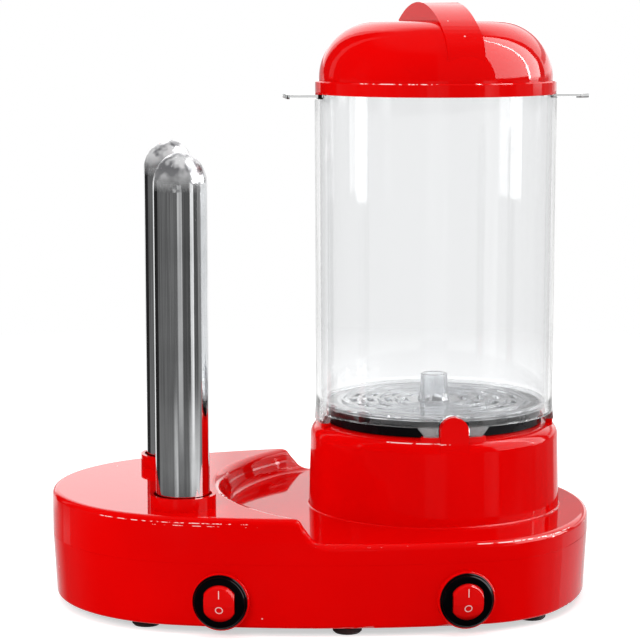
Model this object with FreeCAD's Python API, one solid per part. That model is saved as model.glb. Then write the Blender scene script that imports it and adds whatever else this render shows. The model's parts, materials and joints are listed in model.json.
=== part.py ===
import FreeCAD, Part
import os
from math import acos, asin, atan2, cos, degrees, radians, sin, sqrt, tan

# Two-spike hot dog toaster: a warm-water steamer with a clear cylinder on the right,
# two heated bun spikes on the left, one mains rocker switch for each.
# Millimetres, +Z up, front at -Y. The origin is under the middle of the base,
# on the surface that the feet stand on.

# ---------------------------------------------------------------- driving dimensions
BASE_LENGTH = 250.8
END_R = 101.0             # steamer end of the base outline
END_SWEEP = 40.0          # degrees of that arc each side of the long axis
CORNER_R = 58.0           # corners between the steamer end and the long sides
CORNER_SWEEP = 85.0       # direction in degrees at which the corner meets the long side
SIDE_R = 350.0            # long, slightly bowed sides
WALL = 2.5                # moulded housing wall
FOOT_H = 3.5              # the body wall starts this far above the worktop
SEAM_Z = 32.4             # parting line between lower body and upper housing
SEAM_GAP = 0.16
SEAM_LAP = 3.0            # height of the tongue and rebate that key the two mouldings
SEAM_LAP_GAP = 0.4
DRAFT = 1.6               # how far the lower body's wall leans in from seam to foot
DECK_Z = 52.8             # raised deck round the spikes
LEDGE_Z = 41.4            # lower ledge round the steamer
EDGE_R = 2.6              # rounding along the outer edge of deck and ledge
BOTTOM_EDGE_R = 1.4

TUBE_X = 53.7             # steamer axis
STEP_X = 62.0             # the step between deck and ledge is an arc about this place
STEP_Y = -4.5
STEP_R = 107.9
STEP_ROUND = 4.6          # radius of the two arcs of the step's S profile
STEP_SLOPE = 70.0         # steepness in degrees of the straight between them

PEDESTAL_R = 58.1         # at the shoulder
PEDESTAL_FOOT_R = 58.9
PEDESTAL_FOOT_ROUND = 0.8
PEDESTAL_TOP_Z = 81.2
SHOULDER_R = 6.4
SHOULDER_WALL_Z = 66.0    # the pedestal's wall is this high before it thickens to the top
WELL_R = 47.6             # opening that the pan hangs in
WELL_WALL = 4.4           # thickness of the wall round that opening
WELL_RIM_R = 49.0         # upstanding rim under the pan's lip
WELL_RIM_Z = 84.9
WELL_RIM_ROUND = 0.8
SEAT_PAD_Z = 82.4         # flats that the legs of the clear cylinder stand on
SEAT_PAD_IN_R = 52.6
SEAT_PAD_OUT_R = 55.7
SEAT_PAD_DEPTH = 5.0
SEAT_PAD_SWEEP = 31.0

KEY_W = 12.8              # round-topped tongue that keys the clear cylinder
KEY_TOP_Z = 91.7
KEY_IN_R = 53.0
KEY_OUT_R = 57.8

TUBE_TOP_Z = 234.2
TUBE_BOTTOM_Z = 86.7
TUBE_R_TOP = 56.0
TUBE_R_BOTTOM = 55.4
TUBE_WALL = 2.6
TUBE_LIP_R = 54.5         # thin upstand inside the rim, which centres the lid
TUBE_LIP_H = 3.0
LEG_TOP_SWEEP = 34.4      # degrees covered by a leg at the cylinder's edge
LEG_FOOT_SWEEP = 27.0     # and at its foot
NOTCH_GAP = 0.7
EAR_REACH = 70.2
EAR_W = 28.0
EAR_T = 2.0
EAR_CORNER_R = 5.0
TUBE_FOOT_BAND_H = 7.0
TUBE_FOOT_BAND_T = 0.7

PAN_LIP_R = 50.4
PAN_LIP_TOP_Z = 89.1
PAN_LIP_H = 7.6            # the lip is turned down over the rim of the well
PAN_LIP_T = 1.2
PAN_LIP_EDGE = 0.8        # chamfer on the lip's outer edge
PAN_R = 47.1
PAN_T = 1.6
PAN_FLOOR_Z = 74.6
PAN_CORNER_R = 5.0
STUD_R = 2.0
STUD_PITCH_R = 20.0
STUD_COUNT = 3
STUD_START = 30.0         # direction in degrees of the first stud
STUD_BOTTOM_Z = 60.0
SHIELD_R = 54.6
SHIELD_TOP_Z = 66.0
SHIELD_T = 0.8
NUT_ACROSS = 7.0
NUT_H = 3.2
NUT_THREAD_GAP = 0.02
HEATER_R = 33.0           # tubular element: radius of its hoop
HEATER_ROD_R = 3.0
HEATER_GAP = 32.0         # degrees left open between its two ends
HEATER_DROP_R = 9.0       # bend that turns each end down
HEATER_TAIL = 8.0
THERMOSTAT_R = 8.0
THERMOSTAT_H = 8.0
THERMOSTAT_FLANGE_R = 11.0
THERMOSTAT_BLADE_X = 4.8
BLADE_W = 6.3             # push-on connector blades, half their width either side
BLADE_T = 0.8
BLADE_L = 8.0
FUSE_R = 2.0
FUSE_L = 14.0
FUSE_LEAD_R = 0.6
FUSE_LEAD_L = 30.0
FUSE_Y = 32.0

TRAY_R = 52.0
TRAY_T = 1.9
TRAY_LIP_W = 1.5
TRAY_LIP_H = 0.9
TRAY_RIB_R = 45.2         # hidden rib that centres the tray in the pan
TRAY_RIB_T = 1.2
TRAY_RIB_H = 1.2
POST_R = 6.2
POST_BORE_R = 4.5
POST_TOP_Z = 103.3
POST_FLARE = 1.6
POST_FLARE_H = 3.0
SLOT_W = 3.0
SLOT_RINGS = ((14.0, 6), (22.0, 8), (30.0, 12), (38.0, 16))
SLOT_FILL = 0.62          # share of each ring's pitch that is open
RIB_RADII = (18.0, 26.0, 34.0, 43.0)
RIB_W = 1.0
RIB_H = 0.8

LID_RIM_R = 55.8
LID_RIM_H = 6.0
LID_DOME_R = 54.0
LID_CORNER_R = 26.0
LID_TOP_Z = 267.4
LID_WALL = 2.2
LID_REBATE_GAP = 0.3      # play between the cylinder's upstand and the lid's rim
FIN_T = 17.0              # handle: an upright fin across the lid
FIN_HALF_L = 48.0
FIN_TOP_R = 80.0
FIN_END_R = 16.0
FIN_TOP_Z = 276.0
FIN_FOOT_UP = 2.0         # underside of the fin above the start of the dome's round corner
LID_TURN = 6.0            # the round lid lies turned a little

SPIKE_X = -67.6
SPIKE_Y = 48.0
SPIKE_R = 12.0
SPIKE_TOP_Z = 210.8
SPIKE_TIP_H = 14.4        # the closed end is half an ellipsoid this high
SPIKE_T = 0.9
SPIKE_FLANGE_R = 17.0
SPIKE_FLANGE_T = 1.2
SPIKE_HOLE_GAP = 0.25
COLLAR_R = 14.8
COLLAR_BORE_R = 13.1
COLLAR_H = 5.8
SPIKE_CORE_R = 8.5
SPIKE_CORE_TOP_Z = 190.0
SPIKE_CORE_BOTTOM_Z = 38.0
SPIKE_CORE_CHAMFER = 3.0
CORE_SHOULDER = 2.0       # shoulder that rests on the bracket: step and height
CORE_LEAD_R = 1.0
CORE_LEAD_PITCH = 8.0
CORE_LEAD_L = 4.0
BRACKET_T = 1.2
BRACKET_REACH_OUT = 23.0  # strap's edges, outboard and inboard of the spikes' line
BRACKET_REACH_IN = 7.5
BRACKET_NECK_OUT = 11.0
BRACKET_HALF_L = 17.0
BRACKET_SCREW_Y = 12.0
BRACKET_SCREW_EDGE = 3.5  # screws from the strap's edges
BRACKET_SCREW_HEAD_R = 2.8

SWITCH_Z = 16.0
SWITCH_LEFT_X = -53.0
SWITCH_RIGHT_X = 54.0
BOSS_R = 12.9
BOSS_PROUD = 2.4
BOSS_DEPTH = 7.0
BOSS_EDGE_R = 0.5
BEZEL_R = 11.5
BEZEL_T = 2.2
BEZEL_EDGE_R = 1.2
BARREL_R = 9.9
BARREL_L = 15.0
SWITCH_HOLE_R = 10.05
ROCKER_BALL_R = 9.3       # the rocker's ends lie on a ball about its pivot
ROCKER_HALF_W = 6.75
ROCKER_GAP = 0.3
ROCKER_WELL = 6.0         # depth behind the pivot that the rocker swings in
ROCKER_BACK = 3.0
ROCKER_PIVOT_DEPTH = 2.8  # pivot behind the bezel's base plane
ROCKER_CREST = 1.4        # middle of the rocker's face, ahead of the bezel's face
ROCKER_TILT = 10.0        # off and on are this far either side of the middle
PIVOT_PIN_R = 1.2
PIVOT_PIN_GAP = 0.06
PIVOT_PIN_HALF_L = 8.2
PIVOT_PIN_END_GAP = 0.2
TERMINAL_Z = 4.5          # blades above and below the switch's middle

GLAND_Z = 18.0
GLAND_BORE_R = 3.6
GLAND_BARREL_R = 6.8
GLAND_FLANGE_R = 9.5
GLAND_FLANGE_T = 2.6
GLAND_INNER_L = 12.0
GLAND_BARB = 1.4          # snap barb behind the wall
GLAND_TAPER = 0.6
GLAND_NECK = 0.8
GLAND_SEAT_EDGE = 1.0     # flat seat moulded on the wall, beyond the gland's flange

PILLAR_R = 4.0
PILLARS = ((-96.0, 0.0), (-18.0, 65.5), (-18.0, -65.5), (100.0, 47.4), (100.0, -47.4))
COVER_T = 2.4
COVER_REST_W = 1.6        # ledge inside the wall that the cover comes up against
COVER_REST_H = 2.0
VENT_W = 2.6
VENT_PITCH = 7.0
STEAMER_VENT_R = 36.0
STEAMER_VENT_ROWS = 4     # rows each side of the middle one
SPIKE_VENT_HALF_L = 20.0
SPIKE_VENT_ROWS = 2
SCREW_R = 1.5
SCREW_HEAD_R = 3.2
SCREW_HEAD_H = 1.6
SCREW_L = 14.0
SCREW_HOLE_GAP = 0.2
SCREW_TIP = 0.7
RECESS_W = 0.7            # cross recess in the screw heads
RECESS_REACH = 0.55       # its arms, as a share of the head's radius
RECESS_DEPTH = 0.55       # and its depth, as a share of the head's height
FEET = ((-84.5, 51.3), (3.0, 74.9), (88.5, 61.5))
FOOT_R = 6.5
FOOT_EDGE = 0.9
FOOT_STEM_R = 3.0
FOOT_BEAD = 0.6
FOOT_STEM_H = 3.0
BLOCK_HALF_L = 17.0       # three-way terminal block
BLOCK_Y0 = 50.0
BLOCK_W = 10.0
BLOCK_H = 9.0
BLOCK_PITCH = 11.0
BLOCK_SCREW_R = 2.2
BLOCK_SCREW_Z = 5.0
BLOCK_WIRE_R = 1.7
BLOCK_WIRE_Z = 4.0
CLEAR = 0.1               # general gap between pieces that are only laid together
THROUGH = 50.0            # reach of a cutting tool past what it cuts

# ---------------------------------------------------------------- helpers
UP = FreeCAD.Vector(0, 0, 1)


def vec(x, y, z=0.0):
    return FreeCAD.Vector(x, y, z)


def cylinder(r, z0, z1, x=0.0, y=0.0):
    return Part.makeCylinder(r, z1 - z0, vec(x, y, z0), UP)


def ring(r_out, r_in, z0, z1, x=0.0, y=0.0):
    return cylinder(r_out, z0, z1, x, y).cut(cylinder(r_in, z0, z1, x, y))


def box(x0, x1, y0, y1, z0, z1):
    return Part.makeBox(x1 - x0, y1 - y0, z1 - z0, vec(x0, y0, z0))


def line(a, b):
    return Part.LineSegment(a, b).toShape()


def arc_about(centre, r, start, end):
    """Arc in the XY plane about a centre; angles in degrees, counter-clockwise."""
    points = []
    for angle in (start, (start + end) / 2.0, end):
        points.append(centre + vec(r * cos(radians(angle)), r * sin(radians(angle))))
    return Part.Arc(*points).toShape()


def profile_face(edges):
    return Part.Face(Part.Wire(edges))


def revolve_rz(points, x=0.0, y=0.0):
    """Turn a closed outline of (radius, height) points about a vertical axis."""
    corners = [vec(r, 0.0, z) for r, z in points]
    face = Part.Face(Part.makePolygon(corners + corners[:1]))
    return face.revolve(vec(0, 0, 0), UP, 360).translated(vec(x, y, 0))


def fuse_all(shapes):
    return shapes[0].multiFuse(shapes[1:]).removeSplitter()


def turned(shape, angle):
    copy = shape.copy()
    copy.rotate(vec(0, 0, 0), UP, angle)
    return copy


def round_edges(shape, radius, wanted):
    chosen = [edge for edge in shape.Edges if wanted(edge)]
    return shape.makeFillet(radius, chosen)


# ---------------------------------------------------------------- base outline
def outline_arcs():
    """Centre, radius and end directions of the outline's arcs on the +Y side.

    The arcs run tangent to each other from the steamer end (0 degrees) over the
    corner and the long side to the spike end (180 degrees), whose radius follows.
    """
    half = BASE_LENGTH / 2.0
    end_c = vec(half - END_R, 0)
    t1 = radians(END_SWEEP)
    corner_c = end_c + vec(cos(t1), sin(t1)) * (END_R - CORNER_R)
    t2 = radians(CORNER_SWEEP)
    side_c = corner_c - vec(cos(t2), sin(t2)) * (SIDE_R - CORNER_R)
    run = side_c.x + half
    spike_r = (SIDE_R ** 2 - run ** 2 - side_c.y ** 2) / (2.0 * (SIDE_R - run))
    spike_c = vec(spike_r - half, 0)
    meet = degrees(atan2(spike_c.y - side_c.y, spike_c.x - side_c.x))
    return [
        (end_c, END_R, 0.0, END_SWEEP),
        (corner_c, CORNER_R, END_SWEEP, CORNER_SWEEP),
        (side_c, SIDE_R, CORNER_SWEEP, meet),
        (spike_c, spike_r, meet, 180.0),
    ]


SIDE_CENTRE = outline_arcs()[2][0]


def outline_face(inset, z):
    edges = []
    for centre, r, start, end in outline_arcs():
        edges.append(arc_about(centre, r - inset, start, end))
    for centre, r, start, end in reversed(outline_arcs()):
        mirrored = vec(centre.x, -centre.y)
        edges.append(arc_about(mirrored, r - inset, -end, -start))
    return profile_face(edges).translated(vec(0, 0, z))


def outline_prism(inset, z0, z1):
    return outline_face(inset, z0).extrude(vec(0, 0, z1 - z0))


def lean(z):
    """How far the lower body's wall has leaned in at a height below the seam."""
    return DRAFT * (SEAM_Z - z) / (SEAM_Z - FOOT_H)


def leaning_prism(inset, z0, z1):
    wires = [outline_face(inset + lean(z), z).OuterWire for z in (z0, z1)]
    return Part.makeLoft(wires, True, True)


def front_wall(x):
    """Point and outward direction of the front wall at a place along the base."""
    for centre, r, start, end in outline_arcs():
        across = (x - centre.x) / r
        if abs(across) <= 1.0:
            angle = degrees(acos(across))
            if start - 1e-6 <= angle <= end + 1e-6:
                outward = vec(cos(radians(angle)), -sin(radians(angle)))
                return vec(centre.x, -centre.y) + outward * r, outward
    raise ValueError("no front wall at x = %g" % x)


def placed_on_wall(shape, x, z):
    """Put a shape made round the Y axis, with -Y outward and the boss face at Y = 0."""
    point, outward = front_wall(x)
    copy = shape.copy()
    copy.rotate(vec(0, 0, 0), UP, degrees(atan2(outward.y, outward.x)) + 90.0)
    copy.translate(point + outward * BOSS_PROUD + vec(0, 0, z))
    return copy


def y_cylinder(r, y0, y1):
    return Part.makeCylinder(r, y1 - y0, vec(0, y0, 0), vec(0, 1, 0))


# ---------------------------------------------------------------- upper housing
def step_tool(grow):
    """Space above the ledge: a wide disc round the steamer with an S-shaped rim.

    grow moves the ledge down and the step outward, for the inside of the shell.
    """
    ledge = LEDGE_Z - grow
    deck = DECK_Z - grow
    bend = radians(STEP_SLOPE)
    rise = deck - ledge - 2.0 * STEP_ROUND * (1.0 - cos(bend))
    reach = STEP_ROUND * sin(bend) + rise / tan(bend) / 2.0
    low_x = STEP_R + grow - reach
    high_x = STEP_R + grow + reach

    def on_low(angle):
        return vec(low_x + STEP_ROUND * sin(angle), 0, ledge + STEP_ROUND * (1.0 - cos(angle)))

    def on_high(angle):
        return vec(high_x - STEP_ROUND * sin(angle), 0, deck - STEP_ROUND * (1.0 - cos(angle)))

    top = deck + THROUGH
    edges = [
        line(vec(0, 0, ledge), on_low(0.0)),
        Part.Arc(on_low(0.0), on_low(bend / 2.0), on_low(bend)).toShape(),
        line(on_low(bend), on_high(bend)),
        Part.Arc(on_high(bend), on_high(bend / 2.0), on_high(0.0)).toShape(),
        line(on_high(0.0), vec(high_x, 0, top)),
        line(vec(high_x, 0, top), vec(0, 0, top)),
        line(vec(0, 0, top), vec(0, 0, ledge)),
    ]
    tool = profile_face(edges).revolve(vec(0, 0, 0), UP, 360)
    return tool.translated(vec(STEP_X, STEP_Y, 0))


def pedestal_solid():
    """Outside of the pedestal, from the foot over the shoulder to the rim of the well."""
    bend = sqrt(0.5)
    foot = vec(PEDESTAL_FOOT_R + PEDESTAL_FOOT_ROUND, 0, LEDGE_Z)
    foot_mid = foot + vec(-bend, 0, 1.0 - bend) * PEDESTAL_FOOT_ROUND
    wall_low = foot + vec(-1, 0, 1) * PEDESTAL_FOOT_ROUND
    crest = vec(PEDESTAL_R - SHOULDER_R, 0, PEDESTAL_TOP_Z)
    shoulder_mid = crest + vec(bend, 0, bend - 1.0) * SHOULDER_R
    wall_high = crest + vec(1, 0, -1) * SHOULDER_R
    base_z = LEDGE_Z - WALL
    rim_low = vec(WELL_RIM_R, 0, PEDESTAL_TOP_Z)
    rim_high = vec(WELL_RIM_R, 0, WELL_RIM_Z - WELL_RIM_ROUND)
    rim_mid = vec(WELL_RIM_R + (bend - 1.0) * WELL_RIM_ROUND, 0,
                  WELL_RIM_Z + (bend - 1.0) * WELL_RIM_ROUND)
    rim_top = vec(WELL_RIM_R - WELL_RIM_ROUND, 0, WELL_RIM_Z)
    edges = [
        line(vec(0, 0, base_z), vec(foot.x, 0, base_z)),
        line(vec(foot.x, 0, base_z), foot),
        Part.Arc(foot, foot_mid, wall_low).toShape(),
        line(wall_low, wall_high),
        Part.Arc(wall_high, shoulder_mid, crest).toShape(),
        line(crest, rim_low),
        line(rim_low, rim_high),
        Part.Arc(rim_high, rim_mid, rim_top).toShape(),
        line(rim_top, vec(0, 0, WELL_RIM_Z)),
        line(vec(0, 0, WELL_RIM_Z), vec(0, 0, base_z)),
    ]
    solid = profile_face(edges).revolve(vec(0, 0, 0), UP, 360)
    return solid.translated(vec(TUBE_X, 0, 0))


def sector(r_out, r_in, z0, z1, middle, sweep):
    """Part of a ring about the Z axis; middle and sweep in degrees."""
    wedge = Part.makeCylinder(r_out, z1 - z0, vec(0, 0, z0), UP, sweep)
    return turned(wedge.cut(cylinder(r_in, z0 - 1.0, z1 + 1.0)), middle - sweep / 2.0)


LEG_DIRECTIONS = (-90.0, 0.0, 90.0, 180.0)


def key_tongue(grow, z_bottom):
    """Round-topped tongue on the front of the pedestal; grow makes the notch for it."""
    half = KEY_W / 2.0 + grow
    top_z = KEY_TOP_Z - KEY_W / 2.0
    reach = grow * 4.0
    y0 = -KEY_OUT_R - reach
    depth = KEY_OUT_R - KEY_IN_R + 2.0 * reach
    stem = box(-half, half, y0, y0 + depth, z_bottom, top_z)
    head = Part.makeCylinder(half, depth, vec(0, y0, top_z), vec(0, 1, 0))
    return stem.fuse(head).removeSplitter().translated(vec(TUBE_X, 0, 0))


def upper_housing():
    body = outline_prism(0.0, SEAM_Z + SEAM_GAP / 2.0, DECK_Z).cut(step_tool(0.0))

    def on_top_rim(edge):
        if edge.BoundBox.ZMin < LEDGE_Z - 0.01:
            return False
        middle = edge.valueAt((edge.FirstParameter + edge.LastParameter) / 2.0)
        probe = outline_prism(0.4, middle.z - 1.0, middle.z + 1.0)
        return not probe.isInside(middle, 1e-3, True)

    body = round_edges(body, EDGE_R, on_top_rim)

    inner = outline_prism(WALL, SEAM_Z - 1.0, DECK_Z - WALL).cut(step_tool(WALL))
    rebate = outline_prism(WALL / 2.0, SEAM_Z - 1.0, SEAM_Z + SEAM_LAP + SEAM_LAP_GAP)
    body = body.cut(inner).cut(rebate)

    hollow = cylinder(PEDESTAL_R - WALL, LEDGE_Z - WALL - 1.0, SHOULDER_WALL_Z, TUBE_X)
    under_top = PEDESTAL_TOP_Z - WALL
    upper = cylinder(WELL_R + WELL_WALL, SHOULDER_WALL_Z, under_top, TUBE_X)
    mouth = cylinder(WELL_R, under_top - 1.0, WELL_RIM_Z + THROUGH, TUBE_X)
    body = body.fuse(pedestal_solid()).cut(hollow).cut(upper)
    pads = []
    for direction in LEG_DIRECTIONS:
        pad = sector(SEAT_PAD_OUT_R, SEAT_PAD_IN_R, SEAT_PAD_Z - SEAT_PAD_DEPTH, SEAT_PAD_Z,
                     direction, SEAT_PAD_SWEEP)
        pads.append(pad.translated(vec(TUBE_X, 0, 0)))
    key = key_tongue(0.0, PEDESTAL_TOP_Z - SHOULDER_R)
    body = fuse_all([body, key] + pads).cut(mouth)

    for side in (-1.0, 1.0):
        y = side * SPIKE_Y
        collar = cylinder(COLLAR_R, DECK_Z - 1.0, DECK_Z + COLLAR_H, SPIKE_X, y)
        bore = cylinder(COLLAR_BORE_R, DECK_Z, DECK_Z + THROUGH, SPIKE_X, y)
        hole = cylinder(SPIKE_R + SPIKE_HOLE_GAP, DECK_Z - THROUGH, DECK_Z + 1.0, SPIKE_X, y)
        body = body.fuse(collar).cut(bore).cut(hole)

    for x, y in PILLARS:
        over_ledge = sqrt((x - STEP_X) ** 2 + (y - STEP_Y) ** 2) < STEP_R
        top = (LEDGE_Z if over_ledge else DECK_Z) - WALL / 2.0
        pillar = cylinder(PILLAR_R, FOOT_H + COVER_T + CLEAR, top, x, y)
        pilot = cylinder(SCREW_R, FOOT_H, screw_seat_z() + SCREW_L + 1.0, x, y)
        body = body.fuse(pillar).cut(pilot)
    for x, y in bracket_screws_at():
        boss = cylinder(PILLAR_R, bracket_z() + BRACKET_T, DECK_Z - WALL / 2.0, x, y)
        pilot = cylinder(SCREW_R, bracket_z(), DECK_Z - WALL / 2.0, x, y)
        body = body.fuse(boss).cut(pilot)
    return body.removeSplitter()


# ---------------------------------------------------------------- lower body
def lower_body():
    top = SEAM_Z - SEAM_GAP / 2.0
    wall = leaning_prism(0.0, FOOT_H, top)
    wall = round_edges(wall, BOTTOM_EDGE_R, lambda edge: edge.BoundBox.ZMax < FOOT_H + 0.01)
    tongue = outline_prism(WALL / 2.0 + CLEAR, top - 1.0, SEAM_Z + SEAM_LAP)
    body = wall.fuse(tongue)
    for x in (SWITCH_LEFT_X, SWITCH_RIGHT_X):
        boss = y_cylinder(BOSS_R, 0.0, BOSS_DEPTH)
        boss = round_edges(boss, BOSS_EDGE_R, lambda edge: edge.BoundBox.YMax < 0.01)
        body = body.fuse(placed_on_wall(boss, x, SWITCH_Z))
    body = body.fuse(gland_disc(GLAND_FLANGE_R + GLAND_SEAT_EDGE, -WALL, 0.0))
    body = body.cut(leaning_prism(WALL, FOOT_H - 1.0, SEAM_Z))
    body = body.cut(outline_prism(WALL, SEAM_Z, SEAM_Z + THROUGH))
    rest_z = FOOT_H + COVER_T + CLEAR
    rest = outline_prism(DRAFT + WALL / 2.0, rest_z, rest_z + COVER_REST_H)
    body = body.fuse(rest.cut(outline_prism(DRAFT + WALL + COVER_REST_W, 0.0, THROUGH)))
    for x in (SWITCH_LEFT_X, SWITCH_RIGHT_X):
        hole = y_cylinder(SWITCH_HOLE_R, -BOSS_PROUD, THROUGH / 2.0)
        body = body.cut(placed_on_wall(hole, x, SWITCH_Z))
    barb_r = GLAND_BARREL_R + GLAND_BARB + 2.0 * CLEAR
    body = body.cut(gland_disc(barb_r, -WALL - GLAND_INNER_L, -WALL))
    body = body.cut(gland_disc(GLAND_BARREL_R + CLEAR, -GLAND_INNER_L, THROUGH))
    return body.removeSplitter()


def rear_wall_y():
    return SIDE_CENTRE.y + SIDE_R


def front_reach():
    """How far the right switch's rocker stands in front of the origin."""
    bounds = rocker(SWITCH_RIGHT_X).optimalBoundingBox(False, False)
    return -bounds.YMin


def gland_disc(r, y0, y1):
    """Disc on the gland's axis, between two distances out from the rear wall."""
    start = vec(SIDE_CENTRE.x, rear_wall_y() + y0, GLAND_Z)
    return Part.makeCylinder(r, y1 - y0, start, vec(0, 1, 0))


def cord_gland():
    """Snap-in bushing in the rear wall, with the bore that a mains lead goes through."""
    y_wall = rear_wall_y()
    y_out = front_reach()
    y_back = y_wall - WALL
    flange_in = y_wall + CLEAR / 2.0
    flange_out = flange_in + GLAND_FLANGE_T
    inner_r = GLAND_BARREL_R - GLAND_TAPER
    neck_r = GLAND_BARREL_R - GLAND_NECK
    points = [
        (GLAND_BORE_R, y_back - GLAND_INNER_L), (inner_r, y_back - GLAND_INNER_L),
        (inner_r, y_back - 3.0 * GLAND_BARB), (GLAND_BARREL_R + GLAND_BARB, y_back - 3.0 * CLEAR),
        (GLAND_BARREL_R, y_back - 3.0 * CLEAR), (GLAND_BARREL_R, flange_in),
        (GLAND_FLANGE_R, flange_in), (GLAND_FLANGE_R, flange_out - GLAND_NECK),
        (GLAND_FLANGE_R - GLAND_NECK, flange_out), (neck_r, flange_out),
        (neck_r - GLAND_TAPER, y_out), (GLAND_BORE_R, y_out),
    ]
    solid = revolve_rz(points)
    solid.rotate(vec(0, 0, 0), vec(1, 0, 0), -90.0)
    return solid.translated(vec(SIDE_CENTRE.x, 0, GLAND_Z))


def vent_slots(x, rows, half_length):
    """Parallel vent slots about a place on the long axis; half_length(y) gives each one's."""
    slots = []
    for row in range(-rows, rows + 1):
        y = row * VENT_PITCH
        half_l = half_length(y)
        slots.append(box(x - half_l, x + half_l, y - VENT_W / 2.0, y + VENT_W / 2.0,
                         0.0, THROUGH))
    return slots


def bottom_cover():
    plate = outline_prism(DRAFT + WALL + CLEAR, FOOT_H + CLEAR, FOOT_H + COVER_T)
    vents = vent_slots(TUBE_X, STEAMER_VENT_ROWS, lambda y: sqrt(STEAMER_VENT_R ** 2 - y ** 2))
    vents += vent_slots(SPIKE_X, SPIKE_VENT_ROWS, lambda y: SPIKE_VENT_HALF_L)
    plate = plate.cut(Part.makeCompound(vents))
    for x, y in PILLARS:
        sink = cylinder(SCREW_HEAD_R + 2.0 * SCREW_HOLE_GAP, FOOT_H, screw_seat_z(), x, y)
        plate = plate.cut(sink).cut(cylinder(SCREW_R + SCREW_HOLE_GAP, 0.0, THROUGH, x, y))
    for x, y in feet_at():
        plate = plate.cut(cylinder(FOOT_STEM_R, 0.0, THROUGH, x, y))
    return plate.removeSplitter()


def screw_seat_z():
    return FOOT_H + SCREW_HEAD_H + SCREW_HOLE_GAP


def feet_at():
    return [(x, side * y) for x, y in FEET for side in (-1.0, 1.0)]


def feet():
    """Push-in rubber feet; each stem is snapped through the bottom cover."""
    top = FOOT_H + CLEAR
    bead_z = FOOT_H + COVER_T
    tip_z = bead_z + FOOT_STEM_H
    points = [
        (0.0, 0.0), (FOOT_R - FOOT_EDGE, 0.0), (FOOT_R, FOOT_EDGE), (FOOT_R, top),
        (FOOT_STEM_R, top), (FOOT_STEM_R, bead_z), (FOOT_STEM_R + FOOT_BEAD, bead_z),
        (FOOT_STEM_R - FOOT_BEAD, tip_z), (0.0, tip_z),
    ]
    foot = revolve_rz(points)
    return Part.makeCompound([foot.translated(vec(x, y, 0)) for x, y in feet_at()])


def screw(length, head_r):
    """Pan-head screw pointing up, with the head's underside at Z = 0 and a cross recess."""
    low = -SCREW_HEAD_H
    points = [
        (0.0, low), (head_r - SCREW_TIP, low), (head_r, low / 2.0), (head_r, 0.0),
        (SCREW_R, 0.0), (SCREW_R, length - SCREW_TIP), (SCREW_R - SCREW_TIP, length),
        (0.0, length),
    ]
    half_w = RECESS_W / 2.0
    reach = head_r * RECESS_REACH
    arm = box(-reach, reach, -half_w, half_w, low - 1.0, low * (1.0 - RECESS_DEPTH))
    return revolve_rz(points).cut(arm).cut(turned(arm, 90.0))


def cover_screws():
    one = screw(SCREW_L, SCREW_HEAD_R)
    return Part.makeCompound([one.translated(vec(x, y, screw_seat_z())) for x, y in PILLARS])


# ---------------------------------------------------------------- bun spikes
def closed_tube(r, bottom, top, tip_h):
    """Solid round bar whose upper end is half an ellipsoid."""
    side_top = top - tip_h
    middle = vec(0, 0, side_top)
    ellipse = Part.Ellipse(vec(0, 0, top), vec(r, 0, side_top), middle)
    edges = [
        line(vec(0, 0, bottom), vec(r, 0, bottom)),
        line(vec(r, 0, bottom), vec(r, 0, side_top)),
        Part.ArcOfEllipse(ellipse, 0.0, radians(90.0)).toShape(),
        line(vec(0, 0, top), vec(0, 0, bottom)),
    ]
    return profile_face(edges).revolve(vec(0, 0, 0), UP, 360)


def spike_sleeve(side):
    """Drawn metal sleeve with a rounded closed end and a flange under the deck."""
    under_deck = DECK_Z - WALL
    outer = closed_tube(SPIKE_R, under_deck - SPIKE_FLANGE_T, SPIKE_TOP_Z, SPIKE_TIP_H)
    flange = cylinder(SPIKE_FLANGE_R, under_deck - SPIKE_FLANGE_T, under_deck)
    inner = closed_tube(SPIKE_R - SPIKE_T, under_deck - THROUGH, SPIKE_TOP_Z - SPIKE_T,
                        SPIKE_TIP_H - SPIKE_T)
    shell = outer.fuse(flange).removeSplitter().cut(inner)
    return shell.translated(vec(SPIKE_X, side * SPIKE_Y, 0))


def spike_core(side):
    """Ceramic heating rod inside a spike, shouldered under the bracket, with two leads."""
    z_seat = bracket_z()
    tip_z = SPIKE_CORE_TOP_Z - SPIKE_CORE_CHAMFER
    rod = cylinder(SPIKE_CORE_R, SPIKE_CORE_BOTTOM_Z, tip_z)
    tip = Part.makeCone(SPIKE_CORE_R, SPIKE_CORE_R - SPIKE_CORE_CHAMFER, SPIKE_CORE_CHAMFER,
                        vec(0, 0, tip_z))
    shoulder = cylinder(SPIKE_CORE_R + CORE_SHOULDER, z_seat - CORE_SHOULDER, z_seat)
    parts = [rod, tip, shoulder]
    for x in (-CORE_LEAD_PITCH / 2.0, CORE_LEAD_PITCH / 2.0):
        parts.append(cylinder(CORE_LEAD_R, SPIKE_CORE_BOTTOM_Z - CORE_LEAD_L,
                              SPIKE_CORE_BOTTOM_Z + 1.0, x))
    return fuse_all(parts).translated(vec(SPIKE_X, side * SPIKE_Y, 0))


def bracket_z():
    return DECK_Z - WALL - SPIKE_FLANGE_T - BRACKET_T


def bracket_screws_at():
    columns = (SPIKE_X - BRACKET_REACH_OUT + BRACKET_SCREW_EDGE,
               SPIKE_X + BRACKET_REACH_IN - BRACKET_SCREW_EDGE)
    return [(x, y) for x in columns for y in (-BRACKET_SCREW_Y, BRACKET_SCREW_Y)]


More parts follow.
